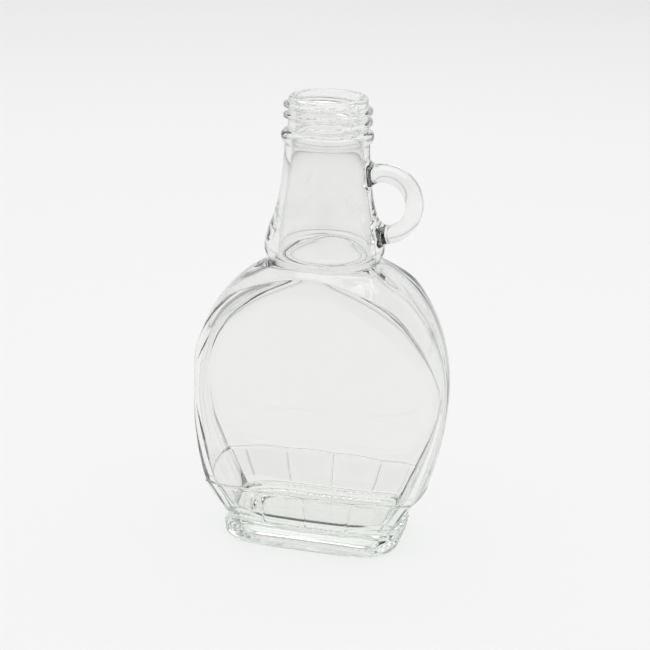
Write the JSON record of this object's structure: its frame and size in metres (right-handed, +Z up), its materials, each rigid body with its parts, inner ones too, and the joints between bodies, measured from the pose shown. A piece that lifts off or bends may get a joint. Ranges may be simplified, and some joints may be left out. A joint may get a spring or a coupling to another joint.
{
  "type": "maple syrup bottle",
  "caption": "Empty flat flask-shaped glass syrup bottle with oval panels, faceted skirt, raised foot, flared threaded neck and a small loop handle.",
  "frame": {"origin": "on the floor plane under the middle of the foot, which is also under the middle of the whole bottle", "axes": "+Z up along the neck, -Y out of the front panel, +X to the side that carries the loop handle"},
  "size_m": [0.0834, 0.04, 0.1464],
  "materials": {
    "clear_glass": "clear polished container glass with a faint green tint"
  },
  "bodies": {
    "root": {"bottle": "clear_glass"}
  },
  "joints": []
}
